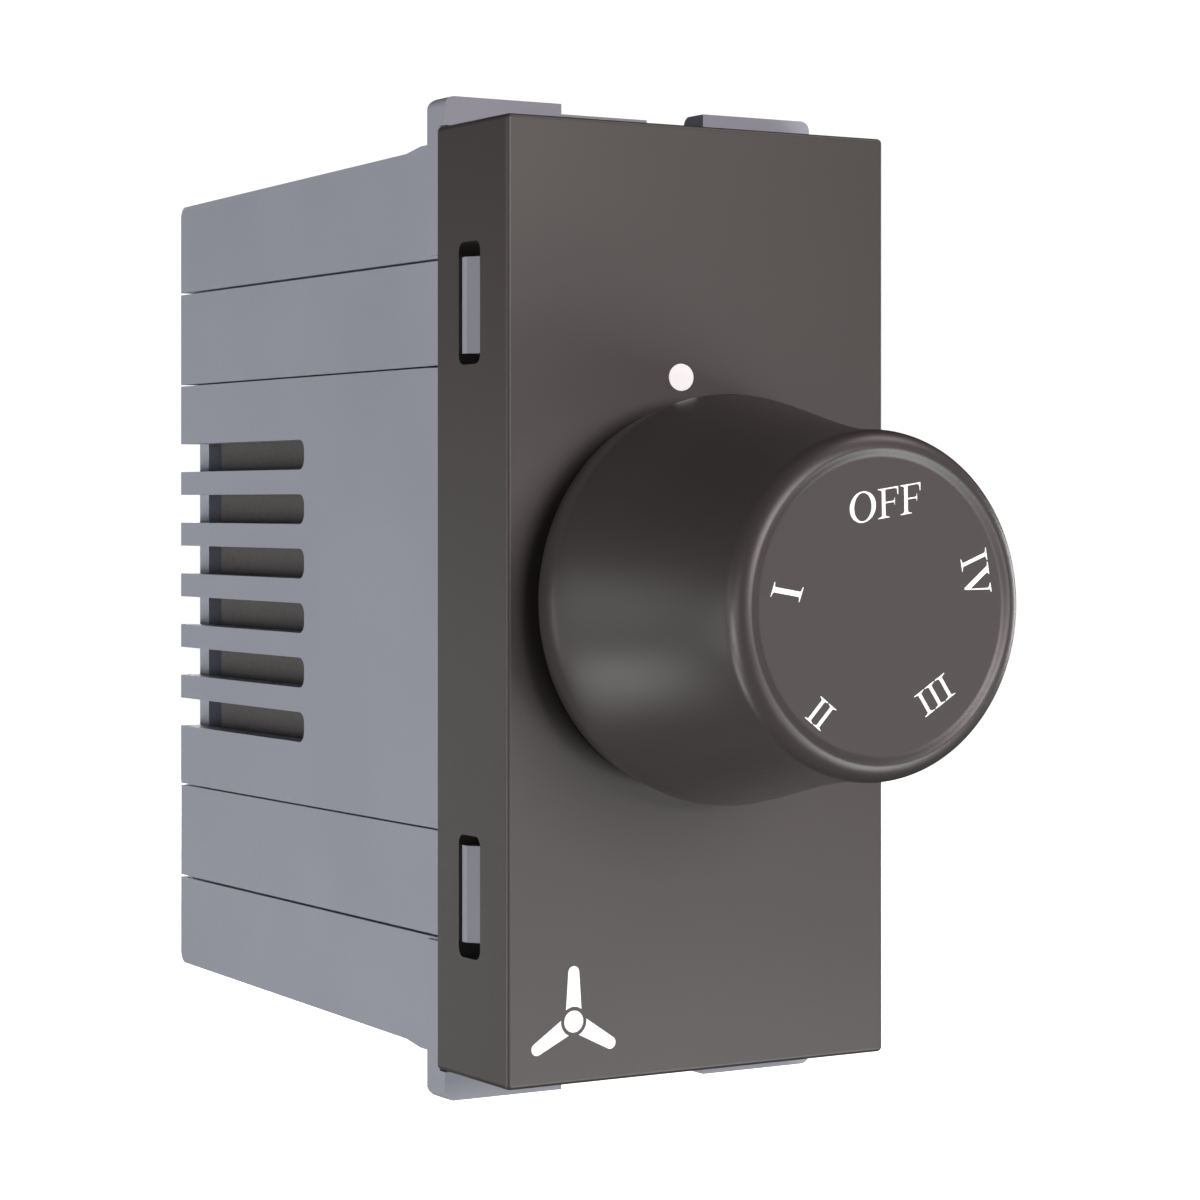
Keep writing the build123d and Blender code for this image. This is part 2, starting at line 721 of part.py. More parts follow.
def make_switch_housing():
    """Front half of the rotary switch: snout, cavity, rivet posts and the end stop."""
    inner = 2 * switch_inner_half
    # the end stop fills what the stop lug leaves between the last position and the first
    stop_angle = 360 - (position_count - 1) * position_angle - stop_lug_angle - 2 * stop_block_gap
    post_spacing = 2 * post_place
    post = small_round(post_radius)
    rivet_hole = small_round(rivet_radius + hole_gap)
    rivet_seat = small_round(rivet_head_radius + hole_gap)
    with BuildPart() as housing:
        with BuildSketch(front_plane(switch_front_y)):
            Rectangle(switch_size, switch_size)
        extrude(amount=-switch_depth)
        chamfer(housing.edges().filter_by(Axis.Y), switch_corner)
        with BuildSketch(front_plane(switch_front_y + switch_front_wall)):
            Rectangle(inner, inner)
        extrude(amount=-(switch_depth - switch_front_wall), mode=Mode.SUBTRACT)
        with BuildSketch(front_plane(switch_front_y + switch_front_wall / 2)):
            with GridLocations(post_spacing, post_spacing, 2, 2):
                add(post)
        extrude(amount=-(switch_depth - switch_front_wall / 2))
        with BuildSketch(front_plane(star_rear_y + star_gap)):
            add(ring_sector(stop_disc_radius + stop_disc_gap, switch_inner_half + stop_block_sink,
                            stop_middle_angle, stop_angle))
        extrude(amount=-(stop_disc_thickness - 2 * star_gap))
        with BuildSketch(front_plane(cover_front_y + snout_setback)):
            Circle(snout_radius)
        extrude(amount=-(switch_front_y + switch_front_wall / 2 - cover_front_y - snout_setback))
        with BuildSketch(front_plane(cover_front_y)):
            Circle(shaft_radius + run_clearance)
        extrude(amount=-(switch_front_y + switch_front_wall - cover_front_y), mode=Mode.SUBTRACT)
        with BuildSketch(front_plane(switch_front_y)):
            with GridLocations(post_spacing, post_spacing, 2, 2):
                add(rivet_hole)
        extrude(amount=-switch_depth, mode=Mode.SUBTRACT)
        with BuildSketch(front_plane(switch_front_y)):
            with GridLocations(post_spacing, post_spacing, 2, 2):
                add(rivet_seat)
        extrude(amount=-rivet_head, mode=Mode.SUBTRACT)
    save(housing, "switch_housing")


def make_switch_base():
    """Rear half of the rotary switch, which carries the contacts and the rear pivot."""
    pin_hole = pin_width + 2 * hole_gap
    rivet_hole = small_round(rivet_radius + hole_gap)
    with BuildPart() as base:
        with BuildSketch(front_plane(switch_rear_y)):
            Rectangle(switch_size, switch_size)
        extrude(amount=-switch_base_thickness)
        chamfer(base.edges().filter_by(Axis.Y), switch_corner)
        with BuildSketch(front_plane(switch_rear_y)):
            with Locations(*pin_places()):
                Rectangle(pin_hole, pin_hole)
            with GridLocations(2 * post_place, 2 * post_place, 2, 2):
                add(rivet_hole)
            Circle(stub_radius + run_clearance)
        extrude(amount=-switch_base_thickness, mode=Mode.SUBTRACT)
    save(base, "switch_base")


def make_switch_rivets():
    """Four rivets that hold the two halves of the rotary switch together."""
    shank_length = switch_depth + switch_base_thickness + rivet_head
    with BuildPart() as rivets:
        for start_y, radius, length in ((switch_front_y, rivet_head_radius, rivet_head),
                                        (switch_front_y, rivet_radius, shank_length),
                                        (base_rear_y, rivet_head_radius, rivet_head)):
            rivet_round = small_round(radius)
            with BuildSketch(front_plane(start_y)):
                with GridLocations(2 * post_place, 2 * post_place, 2, 2):
                    add(rivet_round)
            extrude(amount=-length)
    save(rivets, "switch_rivets")


def make_switch_shaft():
    """Spindle with a flat for the knob, the detent star and the disc with the stop lug."""
    # the lug stands as far before the stop block at rest as it ends past it
    lug_rest_angle = stop_middle_angle + 180 - (position_count - 1) * position_angle / 2
    with BuildPart() as shaft:
        with BuildSketch(front_plane(shaft_front_y)):
            Circle(shaft_radius)
        extrude(amount=-(disc_rear_y - shaft_front_y))
        chamfer(shaft.faces().sort_by(Axis.Y)[0].edges(), shaft_chamfer)
        with BuildSketch(front_plane(shaft_front_y)):
            with Locations((0, -(shaft_flat + shaft_radius))):
                Rectangle(2 * shaft_radius, 2 * shaft_radius)
        extrude(amount=-(hub_rear_y - shaft_front_y), mode=Mode.SUBTRACT)
        with BuildSketch(front_plane(star_front_y)):
            Circle(star_radius)
            with Locations(*[around(star_radius + notch_offset, 180 + position_angle * step)
                             for step in range(position_count)]):
                Circle(notch_radius, mode=Mode.SUBTRACT)
        extrude(amount=-star_thickness)
        with BuildSketch(front_plane(star_rear_y)):
            Circle(stop_disc_radius)
            add(ring_sector(stop_disc_radius - stop_lug_sink, stop_lug_reach, lug_rest_angle, stop_lug_angle))
        extrude(amount=-stop_disc_thickness)
        with BuildSketch(front_plane(disc_rear_y)):
            Circle(stub_radius)
        extrude(amount=-(base_rear_y - stub_end_gap - disc_rear_y))
    save(shaft, "switch_shaft")


def make_wiper_contact():
    """Sprung contact on the rear of the stop disc: a finger for the pads, one for the common ring."""
    strip_rear_y = disc_rear_y + wiper_thickness
    tip_y = pad_front_y - pad_gap
    slope_y = tip_y - wiper_slope * wiper_thickness
    root_z = wiper_ring_outer - wiper_root
    heel_z = wiper_ring_outer + wiper_heel
    toe_y = disc_rear_y + wiper_toe_depth
    toe_z = pad_circle + wiper_toe
    pad_finger = [(disc_rear_y, root_z), (disc_rear_y, heel_z), (slope_y, pad_circle), (toe_y, toe_z),
                  (toe_y + wiper_thickness, toe_z + wiper_toe_skew), (tip_y, pad_circle),
                  (strip_rear_y, heel_z), (strip_rear_y, root_z)]
    ring_finger = [(disc_rear_y, -root_z), (strip_rear_y, -root_z), (tip_y, -pad_middle),
                   (slope_y, -pad_middle + wiper_toe_skew)]
    with BuildPart() as wiper:
        with BuildSketch(front_plane(disc_rear_y)):
            Circle(wiper_ring_outer)
            Circle(wiper_ring_inner, mode=Mode.SUBTRACT)
        extrude(amount=-wiper_thickness)
        for points in (pad_finger, ring_finger):
            with BuildSketch(Plane.YZ):
                with BuildLine():
                    Polyline(points, close=True)
                make_face()
            extrude(amount=wiper_width / 2, both=True)
    save(wiper, "wiper_contact")


def make_fixed_contacts():
    """Four speed contacts and the common ring, each with its pin through base and board."""
    pad = small_round(pad_radius)
    with BuildPart() as contacts:
        with BuildSketch(front_plane(pad_front_y)):
            with Locations(*pin_places()[:-1]):
                add(pad)
            Circle(common_outer)
            Circle(common_inner, mode=Mode.SUBTRACT)
        extrude(amount=-pad_head)
        with BuildSketch(front_plane(switch_rear_y)):
            with Locations(*pin_places()):
                Rectangle(pin_width, pin_width)
        extrude(amount=-(board_rear_y + pin_poke - switch_rear_y))
    save(contacts, "fixed_contacts")


def make_detent_spring():
    """Leaf spring along the floor of the switch, its bump lying in the lowest notch of the star."""
    leaf_half_length = post_place - post_radius - leaf_post_gap
    leaf_z = -switch_inner_half + leaf_floor_gap + leaf_thickness / 2
    bump_z = -(star_radius + notch_offset - notch_radius) - leaf_bump_gap - leaf_thickness / 2
    start_y = star_front_y + (star_thickness - leaf_width) / 2
    half = [(leaf_bump_flat, bump_z), (leaf_bump_half, bump_z - leaf_bump_drop), (leaf_shoulder, leaf_z),
            (leaf_half_length - leaf_end, leaf_z), (leaf_half_length, leaf_z + leaf_lift)]
    with BuildPart() as spring:
        with BuildSketch(front_plane(start_y)):
            with BuildLine():
                Polyline([(-x, z) for x, z in reversed(half)] + half)
            trace(line_width=leaf_thickness)
        extrude(amount=-leaf_width)
    save(spring, "detent_spring")


def knob_outline():
    """Half section of the outside of the knob from skirt to front face, as radius over depth."""
    foot = (knob_base_radius, knob_rear_y)
    crease_y = cover_front_y - knob_crease
    neck_y = knob_front_y + knob_front_edge
    reach = crease_y - neck_y
    face_radius = knob_front_radius - knob_front_edge
    steps = [radians(90 * step / knob_rim_flats) for step in range(1, knob_rim_flats + 1)]
    rim = [(face_radius + knob_front_edge * cos(turn), knob_front_y + knob_front_edge * (1 - sin(turn)))
           for turn in steps]
    skirt = Line(foot, (knob_crease_radius, crease_y))
    curve = Bezier(skirt @ 1, (knob_crease_radius, crease_y - crease_pull * reach),
                   (knob_front_radius, neck_y + neck_pull * reach), (knob_front_radius, neck_y))
    return Polyline([curve @ 1] + rim + [(0, knob_front_y), (0, knob_rear_y), foot])


def make_knob():
    """Waisted knob: hollow skirt with ribs, split hub with a flat-sided bore, rounded front rim."""
    inner_front_y = knob_front_y + knob_face_wall
    inner_crease_y = cover_front_y - knob_crease
    waist_y = inner_crease_y - knob_waist_share * (inner_crease_y - inner_front_y)
    hub_length = hub_rear_y - inner_front_y
    inner_neck = knob_front_radius - knob_wall
    rib_middle = (hub_radius + inner_neck) / 2
    with BuildPart() as knob:
        with BuildSketch(Plane.XY):
            with BuildLine():
                knob_outline()
            make_face()
        revolve(axis=Axis.Y)
        with BuildSketch(Plane.XY):
            with BuildLine():
                Polyline((0, knob_rear_y), (knob_base_radius - knob_wall, knob_rear_y),
                         (knob_crease_radius - knob_wall, inner_crease_y),
                         (inner_neck, waist_y), (inner_neck, inner_front_y),
                         (0, inner_front_y), close=True)
            make_face()
        revolve(axis=Axis.Y, mode=Mode.SUBTRACT)
        # hub and ribs
        with BuildSketch(front_plane(inner_front_y)):
            Circle(hub_radius)
        extrude(amount=-hub_length)
        with BuildSketch(front_plane(inner_front_y)):
            with PolarLocations(rib_middle, knob_rib_count, start_angle=knob_rib_turn):
                Rectangle(knob_front_radius - hub_radius, knob_rib_width)
        extrude(amount=-(cover_front_y - knob_rib_start - inner_front_y))
        with BuildSketch(front_plane(inner_front_y)):
            Circle(shaft_radius + hub_bore_gap)
            with Locations((0, -(shaft_flat + hub_bore_gap + shaft_radius))):
                Rectangle(3 * shaft_radius, 2 * shaft_radius, mode=Mode.SUBTRACT)
        extrude(amount=-hub_length, mode=Mode.SUBTRACT)
        with BuildSketch(front_plane(hub_rear_y - hub_slit_length)):
            Rectangle(2 * hub_radius, hub_slit_width)
        extrude(amount=-hub_slit_length, mode=Mode.SUBTRACT)
        # seat for the spring clip
        with BuildSketch(front_plane(hub_rear_y - clip_start - clip_width - clip_gap)):
            Circle(hub_radius)
            Circle(hub_radius - clip_thickness, mode=Mode.SUBTRACT)
        extrude(amount=-(clip_width + 2 * clip_gap), mode=Mode.SUBTRACT)
        # the printed face lies slightly below its rim
        with BuildSketch(front_plane(knob_front_y)):
            Circle(knob_front_radius - knob_face_rim)
        extrude(amount=-knob_face_recess, mode=Mode.SUBTRACT)
    save(knob, "knob")


def make_knob_clip():
    """Open spring ring that clamps the knob's hub on the shaft."""
    with BuildPart() as clip:
        with BuildSketch(front_plane(hub_rear_y - clip_start - clip_width)):
            Circle(hub_radius - clip_fit)
            Circle(hub_radius - clip_thickness + clip_fit, mode=Mode.SUBTRACT)
            add(ring_sector(hub_radius / 2, 2 * hub_radius, 180, clip_opening), mode=Mode.SUBTRACT)
        extrude(amount=-clip_width)
    save(clip, "knob_clip")


def build_terminal_block():
    """Brass block: round wire bore from the rear, plate pocket above it, screw hole on top."""
    with BuildPart() as block:
        with BuildSketch(front_plane(block_front_y)):
            with Locations((0, (block_low_z + block_high_z) / 2)):
                Rectangle(terminal_width, block_high_z - block_low_z)
        extrude(amount=-terminal_length)
        chamfer(block.edges().filter_by(Axis.Y), terminal_chamfer)
        with BuildSketch(front_plane(block_front_y)):
            with Locations((0, wire_bore_z)):
                Circle(wire_bore_radius)
        extrude(amount=-terminal_length, mode=Mode.SUBTRACT)
        with BuildSketch(Plane.XY.offset(wire_bore_z)):
            with Locations((0, terminal_y)):
                Rectangle(2 * (plate_half_width + plate_clearance), plate_length + 2 * plate_clearance)
        extrude(amount=pocket_top_z - wire_bore_z, mode=Mode.SUBTRACT)
        with BuildSketch(Plane.XY.offset(wire_bore_z)):
            with Locations((0, terminal_y)):
                Circle(screw_shank_radius + run_clearance)
        extrude(amount=block_high_z - wire_bore_z, mode=Mode.SUBTRACT)
    return block.part


def build_pressure_plate():
    """Plate under the screw tip that presses on the wire."""
    with BuildPart() as plate:
        with BuildSketch(Plane.XY.offset(plate_low_z)):
            with Locations((0, terminal_y)):
                Rectangle(2 * plate_half_width, plate_length)
        extrude(amount=plate_thickness)
    return plate.part


def build_terminal_screw():
    """Cheese-head terminal screw with a crossed recess, in its open position."""
    with BuildPart() as screw:
        with BuildSketch(Plane.XY.offset(plate_top_z)):
            with Locations((0, terminal_y)):
                Circle(screw_shank_radius)
        extrude(amount=head_low_z - plate_top_z)
        with BuildSketch(Plane.XY.offset(head_low_z)):
            with Locations((0, terminal_y)):
                Circle(screw_head_radius)
        extrude(amount=screw_head)
        chamfer(screw.faces().sort_by(Axis.Z)[-1].edges(), screw_chamfer)
        with BuildSketch(Plane.XY.offset(head_top_z - screw_slot_depth)):
            with Locations((0, terminal_y)):
                Rectangle(3 * screw_head_radius, screw_slot_width)
                Rectangle(screw_slot_width, screw_cross_share * screw_head_radius)
        extrude(amount=screw_slot_depth, mode=Mode.SUBTRACT)
    return screw.part


def build_terminal_strap():
    """Bent brass strip from the front of the terminal into the board."""
    foot_z = wire_bore_z + wire_bore_radius + strap_foot_gap
    start_y = board_front_y - pin_poke
    bend_y = block_front_y - strap_thickness
    low_z = strap_height - strap_thickness / 2
    high_z = strap_height + strap_thickness / 2
    with BuildPart() as strap:
        with BuildSketch(Plane.YZ):
            with BuildLine():
                Polyline((start_y, low_z), (bend_y, low_z), (bend_y, foot_z), (block_front_y, foot_z),
                         (block_front_y, high_z), (start_y, high_z), close=True)
            make_face()
        extrude(amount=strap_width / 2, both=True)
        bends = strap.edges().filter_by(Axis.X).sort_by(lambda edge: edge.center().Y + edge.center().Z)
        fillet(bends[-1], strap_bend)
    return strap.part


def make_terminals():
    """The upper terminal's pieces and their mirror images below."""
    pieces = (("terminal_block", build_terminal_block()), ("pressure_plate", build_pressure_plate()),
              ("terminal_screw", build_terminal_screw()), ("terminal_strap", build_terminal_strap()))
    for name, shape in pieces:
        with BuildPart() as upper:
            add(shape)
        save(upper, f"{name}_upper")
        with BuildPart() as lower:
            mirror(shape, about=Plane.XY)
        save(lower, f"{name}_lower")


os.makedirs("parts", exist_ok=True)
make_front_cover()
make_chassis()
make_rear_housing()
make_capacitor_cup()
make_circuit_board()
for name, side in (("upper", 1), ("lower", -1)):
    make_capacitor(f"capacitor_{name}", side)
    make_resistor(f"series_resistor_{name}", side * series_z, series_radius, series_length, series_height)
    make_resistor(f"bleed_resistor_{name}", side * bleed_z, bleed_radius, bleed_length, bleed_height)
make_switch_housing()
make_switch_base()
make_switch_rivets()
make_switch_shaft()
make_wiper_contact()
make_fixed_contacts()
make_detent_spring()
make_knob()
make_knob_clip()
make_terminals()
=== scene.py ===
# Fan speed control switch: finishes, printed marks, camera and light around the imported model.
# Metres, X to the right, Y to the rear, Z up. The origin is the centre of the lug plane.
import json
import math

import bpy
import numpy as np
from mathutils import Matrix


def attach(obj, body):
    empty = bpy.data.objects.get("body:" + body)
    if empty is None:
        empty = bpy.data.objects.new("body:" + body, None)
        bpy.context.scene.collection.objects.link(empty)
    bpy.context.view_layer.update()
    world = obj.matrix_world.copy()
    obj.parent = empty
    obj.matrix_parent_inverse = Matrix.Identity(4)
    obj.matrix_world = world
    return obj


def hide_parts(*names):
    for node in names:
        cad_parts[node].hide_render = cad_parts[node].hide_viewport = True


mm = 0.001

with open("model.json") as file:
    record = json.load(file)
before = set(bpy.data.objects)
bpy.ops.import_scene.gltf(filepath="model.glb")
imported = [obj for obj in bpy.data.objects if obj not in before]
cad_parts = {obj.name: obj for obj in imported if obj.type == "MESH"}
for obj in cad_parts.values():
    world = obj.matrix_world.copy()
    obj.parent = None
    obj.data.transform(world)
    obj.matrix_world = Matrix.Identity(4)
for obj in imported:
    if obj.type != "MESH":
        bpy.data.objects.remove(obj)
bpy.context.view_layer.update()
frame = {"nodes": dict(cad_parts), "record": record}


# finishes

def newMaterial(name):
    # material with its node tree, its surface shader and the place on the piece, for patterns
    material = bpy.data.materials.new(name)
    material.use_nodes = True
    tree = material.node_tree
    shader = tree.nodes["Principled BSDF"]
    place = tree.nodes.new("ShaderNodeTexCoord").outputs["Object"]
    return material, tree, shader, place


def noise(tree, place, size, detail=2.0, stretch=None):
    # cloudy pattern whose spots are about one size across, drawn out where stretch gives a longer side
    if stretch:
        mapping = tree.nodes.new("ShaderNodeMapping")
        mapping.inputs["Scale"].default_value = stretch
        tree.links.new(place, mapping.inputs["Vector"])
        place = mapping.outputs["Vector"]
    texture = tree.nodes.new("ShaderNodeTexNoise")
    texture.inputs["Scale"].default_value = 1 / size
    texture.inputs["Detail"].default_value = detail
    tree.links.new(place, texture.inputs["Vector"])
    return texture.outputs["Fac"]


def spread(tree, pattern, low, high, start=0.35, end=0.65):
    # value that runs from low to high while the pattern runs from start to end
    node = tree.nodes.new("ShaderNodeMapRange")
    node.inputs["From Min"].default_value = start
    node.inputs["From Max"].default_value = end
    node.inputs["To Min"].default_value = low
    node.inputs["To Max"].default_value = high
    tree.links.new(pattern, node.inputs["Value"])
    return node.outputs["Result"]


def blendTones(tree, factor, first, second):
    # first * (1 - factor) + second * factor
    node = tree.nodes.new("ShaderNodeMix")
    node.data_type = "RGBA"
    node.inputs["A"].default_value = (*first, 1)
    node.inputs["B"].default_value = (*second, 1)
    tree.links.new(factor, node.inputs["Factor"])
    return node.outputs["Result"]


def varyingGloss(tree, shader, pattern, look):
    # roughness that runs from a little under to a little over its middle while the pattern rises
    low, high = look["roughness"] - look["roughnessDrift"], look["roughness"] + look["roughnessDrift"]
    tree.links.new(spread(tree, pattern, low, high), shader.inputs["Roughness"])


def surfaceRelief(tree, shader, pattern, height):
    # fine relief that follows the pattern, with height as its depth in metres
    node = tree.nodes.new("ShaderNodeBump")
    node.inputs["Strength"].default_value = 1.0
    node.inputs["Distance"].default_value = height
    tree.links.new(pattern, node.inputs["Height"])
    tree.links.new(node.outputs["Normal"], shader.inputs["Normal"])


def mouldedPlastic(name, look):
    # moulded skin: fine even grain, slow drift of tone, gloss that varies with the grain
    material, tree, shader, place = newMaterial(name)
    drift = spread(tree, noise(tree, place, look["driftSize"]), 0, 1)
    tone = np.array(look["tone"])
    toneBlend = blendTones(tree, drift, tone * (1 - look["drift"]), tone * (1 + look["drift"]))
    tree.links.new(toneBlend, shader.inputs["Base Color"])
    grain = noise(tree, place, look["grainSize"], detail=3.0)
    varyingGloss(tree, shader, grain, look)
    surfaceRelief(tree, shader, grain, look["grainHeight"])
    shader.inputs["Specular IOR Level"].default_value = look["specular"]
    shader.inputs["Emission Color"].default_value = (1, 1, 1, 1)
    # painted light: where a finish has a glow, the piece gives off a faint light of its own, which lifts the
    # white print brighter than the lamps alone make it
    shader.inputs["Emission Strength"].default_value = look.get("glow", 0)  # lifts the print to white
    return material


def rolledMetal(name, look):
    # rolled or turned metal: fine drawn lines, stains that dull it slightly
    material, tree, shader, place = newMaterial(name)
    stain = spread(tree, noise(tree, place, look["stainSize"], detail=4.0), 0, 1)
    tone = np.array(look["tone"])
    tree.links.new(blendTones(tree, stain, tone, tone * look["stain"]), shader.inputs["Base Color"])
    lines = noise(tree, place, look["lineSize"], detail=3.0, stretch=look["stretch"])
    varyingGloss(tree, shader, lines, look)
    surfaceRelief(tree, shader, lines, look["lineHeight"])
    shader.inputs["Metallic"].default_value = 1.0
    return material


def pressedLaminate(name, look):
    # pressed paper laminate: short darker fibres along the sheet in a resin tone
    material, tree, shader, place = newMaterial(name)
    fibres = noise(tree, place, look["fibreSize"], detail=5.0, stretch=look["stretch"])
    tone = np.array(look["tone"])
    factor = spread(tree, fibres, 0, 1)
    tree.links.new(blendTones(tree, factor, tone * look["dark"], tone), shader.inputs["Base Color"])
    tree.links.new(spread(tree, fibres, look["roughness"] + look["roughnessDrift"], look["roughness"]),
                   shader.inputs["Roughness"])
    surfaceRelief(tree, shader, fibres, look["fibreHeight"])
    return material


# each finish with the function that makes it; tones are linear red, green and blue
finishes = {
    "cover_plastic": (mouldedPlastic, {
        "tone": (0.050, 0.045, 0.042), "drift": 0.025, "driftSize": 14 * mm, "roughness": 0.41,
        "roughnessDrift": 0.02, "grainSize": 0.16 * mm, "grainHeight": 0.0007 * mm, "specular": 0.45}),
    "knob_plastic": (mouldedPlastic, {
        "tone": (0.054, 0.049, 0.047), "drift": 0.025, "driftSize": 10 * mm, "roughness": 0.37,
        "roughnessDrift": 0.015, "grainSize": 0.14 * mm, "grainHeight": 0.0004 * mm, "specular": 0.5}),
    "housing_plastic": (mouldedPlastic, {
        "tone": (0.325, 0.349, 0.400), "drift": 0.03, "driftSize": 12 * mm, "roughness": 0.58,
        "roughnessDrift": 0.05, "grainSize": 0.20 * mm, "grainHeight": 0.0025 * mm, "specular": 0.4}),
    "cup_plastic": (mouldedPlastic, {
        "tone": (0.070, 0.065, 0.063), "drift": 0.05, "driftSize": 6 * mm, "roughness": 0.55,
        "roughnessDrift": 0.05, "grainSize": 0.20 * mm, "grainHeight": 0.0025 * mm, "specular": 0.4}),
    "capacitor_case": (mouldedPlastic, {
        "tone": (0.55, 0.40, 0.06), "drift": 0.05, "driftSize": 5 * mm, "roughness": 0.34,
        "roughnessDrift": 0.05, "grainSize": 0.25 * mm, "grainHeight": 0.0015 * mm, "specular": 0.5}),
    "switch_plastic": (mouldedPlastic, {
        "tone": (0.028, 0.028, 0.030), "drift": 0.08, "driftSize": 5 * mm, "roughness": 0.48,
        "roughnessDrift": 0.06, "grainSize": 0.18 * mm, "grainHeight": 0.002 * mm, "specular": 0.45}),
    "shaft_plastic": (mouldedPlastic, {
        "tone": (0.62, 0.60, 0.55), "drift": 0.03, "driftSize": 4 * mm, "roughness": 0.42,
        "roughnessDrift": 0.04, "grainSize": 0.20 * mm, "grainHeight": 0.001 * mm, "specular": 0.45}),
    "resistor_body": (mouldedPlastic, {
        "tone": (0.26, 0.40, 0.45), "drift": 0.10, "driftSize": 1.2 * mm, "roughness": 0.30,
        "roughnessDrift": 0.06, "grainSize": 0.30 * mm, "grainHeight": 0.006 * mm, "specular": 0.5}),
    "white_print": (mouldedPlastic, {
        "tone": (0.97, 0.97, 0.97), "drift": 0.01, "driftSize": 1.5 * mm, "roughness": 0.50,
        "roughnessDrift": 0.06, "grainSize": 0.08 * mm, "grainHeight": 0.0008 * mm, "specular": 0.4,
        # the print's glow is painted light, a faint light of its own on top of its white tone
        "glow": 0.2}),
    "contact_brass": (rolledMetal, {
        "tone": (0.76, 0.58, 0.27), "stain": 0.82, "stainSize": 2.5 * mm, "roughness": 0.30,
        "roughnessDrift": 0.08, "lineSize": 0.10 * mm, "lineHeight": 0.0015 * mm,
        "stretch": (0.1, 1.0, 1.0)}),
    "spring_steel": (rolledMetal, {
        "tone": (0.52, 0.52, 0.54), "stain": 0.85, "stainSize": 2.0 * mm, "roughness": 0.28,
        "roughnessDrift": 0.08, "lineSize": 0.08 * mm, "lineHeight": 0.001 * mm,
        "stretch": (0.1, 1.0, 1.0)}),
    "screw_steel": (rolledMetal, {
        "tone": (0.66, 0.65, 0.60), "stain": 0.88, "stainSize": 1.5 * mm, "roughness": 0.32,
        "roughnessDrift": 0.07, "lineSize": 0.10 * mm, "lineHeight": 0.0015 * mm,
        "stretch": (1.0, 1.0, 0.15)}),
    "board_laminate": (pressedLaminate, {
        "tone": (0.42, 0.29, 0.12), "dark": 0.75, "fibreSize": 0.35 * mm, "fibreHeight": 0.004 * mm,
        "stretch": (0.25, 1.0, 1.0), "roughness": 0.42, "roughnessDrift": 0.12}),
}


materials = {slot: make(slot, look) for slot, (make, look) in finishes.items()}
slotOf = {part["node"]: part["material_slot"] for part in frame["record"]["subparts"]}
for node, cadObject in frame["nodes"].items():
    cadObject.data.materials.clear()
    cadObject.data.materials.append(materials[slotOf[node]])
print("finishes:", len(materials))


# knob

# millimetres; faces nearer the front have the smaller y
knobForm = {"rearY": -8.5, "footRadius": 9.33, "footRound": 0.12, "creaseY": -10.46, "creaseRadius": 9.67,
            "creasePull": 0.14, "neckPull": 0.385, "frontY": -22.71, "frontRadius": 7.79, "rimRound": 0.9,
            "faceRadius": 7.0, "faceDepth": 0.12, "faceSlope": 0.5, "wall": 1.2, "faceWall": 1.4,
            "rimGap": 0.02, "waistShare": 0.7, "around": 240, "flankSteps": 40, "rimSteps": 14,
            "crease": 32}
hubForm = {"radius": 4.6, "rearY": -9.0, "bore": 3.02, "flat": 2.02, "slit": 0.7, "slitDepth": 5.0,
           "seatRadius": 4.25, "seatFront": -11.65, "seatRear": -9.95, "sunk": 0.1, "points": 48}
ribForm = {"count": 6, "width": 0.8, "inner": 4.3, "rearY": -12.5, "turn": 30.0}


def bezier(start, pullStart, pullEnd, end, steps):
    # (1-t)^3 a + 3(1-t)^2 t b + 3(1-t) t^2 c + t^3 d
    t = np.linspace(0, 1, steps)[:, None]
    early = (1 - t) ** 3 * start + 3 * (1 - t) ** 2 * t * pullStart
    late = 3 * (1 - t) * t ** 2 * pullEnd + t ** 3 * end
    return early + late


def knobProfile(form):
    # radius over depth: out across the face, over the rim, down the waisted flank and back up inside.
    # The slope of the face is half a cosine wave, the rim a quarter circle and the flank a cubic curve.
    neckY = form["frontY"] + form["rimRound"]
    reach = form["creaseY"] - neckY
    share = np.linspace(0, 1, form["rimSteps"])
    slopeRadius = form["faceRadius"] + (share - 1) * form["faceSlope"]
    slopeY = form["frontY"] + form["faceDepth"] * (1 + np.cos(np.pi * share)) / 2
    face = np.stack([slopeRadius, slopeY], axis=1)
    turn = np.radians(90) * share
    roundCentre = form["frontRadius"] - form["rimRound"]
    rim = np.stack([roundCentre + form["rimRound"] * np.sin(turn),
                    neckY - form["rimRound"] * np.cos(turn)], axis=1)
    rim = rim[rim[:, 0] > form["faceRadius"] + form["rimGap"]]  # starts just outside the slope
    flank = bezier(np.array([form["frontRadius"], neckY]),
                   np.array([form["frontRadius"], neckY + form["neckPull"] * reach]),
                   np.array([form["creaseRadius"], form["creaseY"] - form["creasePull"] * reach]),
                   np.array([form["creaseRadius"], form["creaseY"]]), form["flankSteps"])
    foot = np.array([form["footRadius"], form["rearY"]])
    edge = form["footRound"] * np.array([(0.05, -1), (-0.3, -0.3), (-1, 0)])  # three points round the foot
    innerFront = form["frontY"] + form["faceWall"]
    waistY = form["creaseY"] - form["waistShare"] * (form["creaseY"] - innerFront)
    innerNeck = form["frontRadius"] - form["wall"]
    inside = np.array([(form["footRadius"] - form["wall"], form["rearY"]),
                       (form["creaseRadius"] - form["wall"], form["creaseY"]),
                       (innerNeck, waistY), (innerNeck, innerFront)])
    return np.concatenate([face, rim, flank[1:], foot + edge, inside])


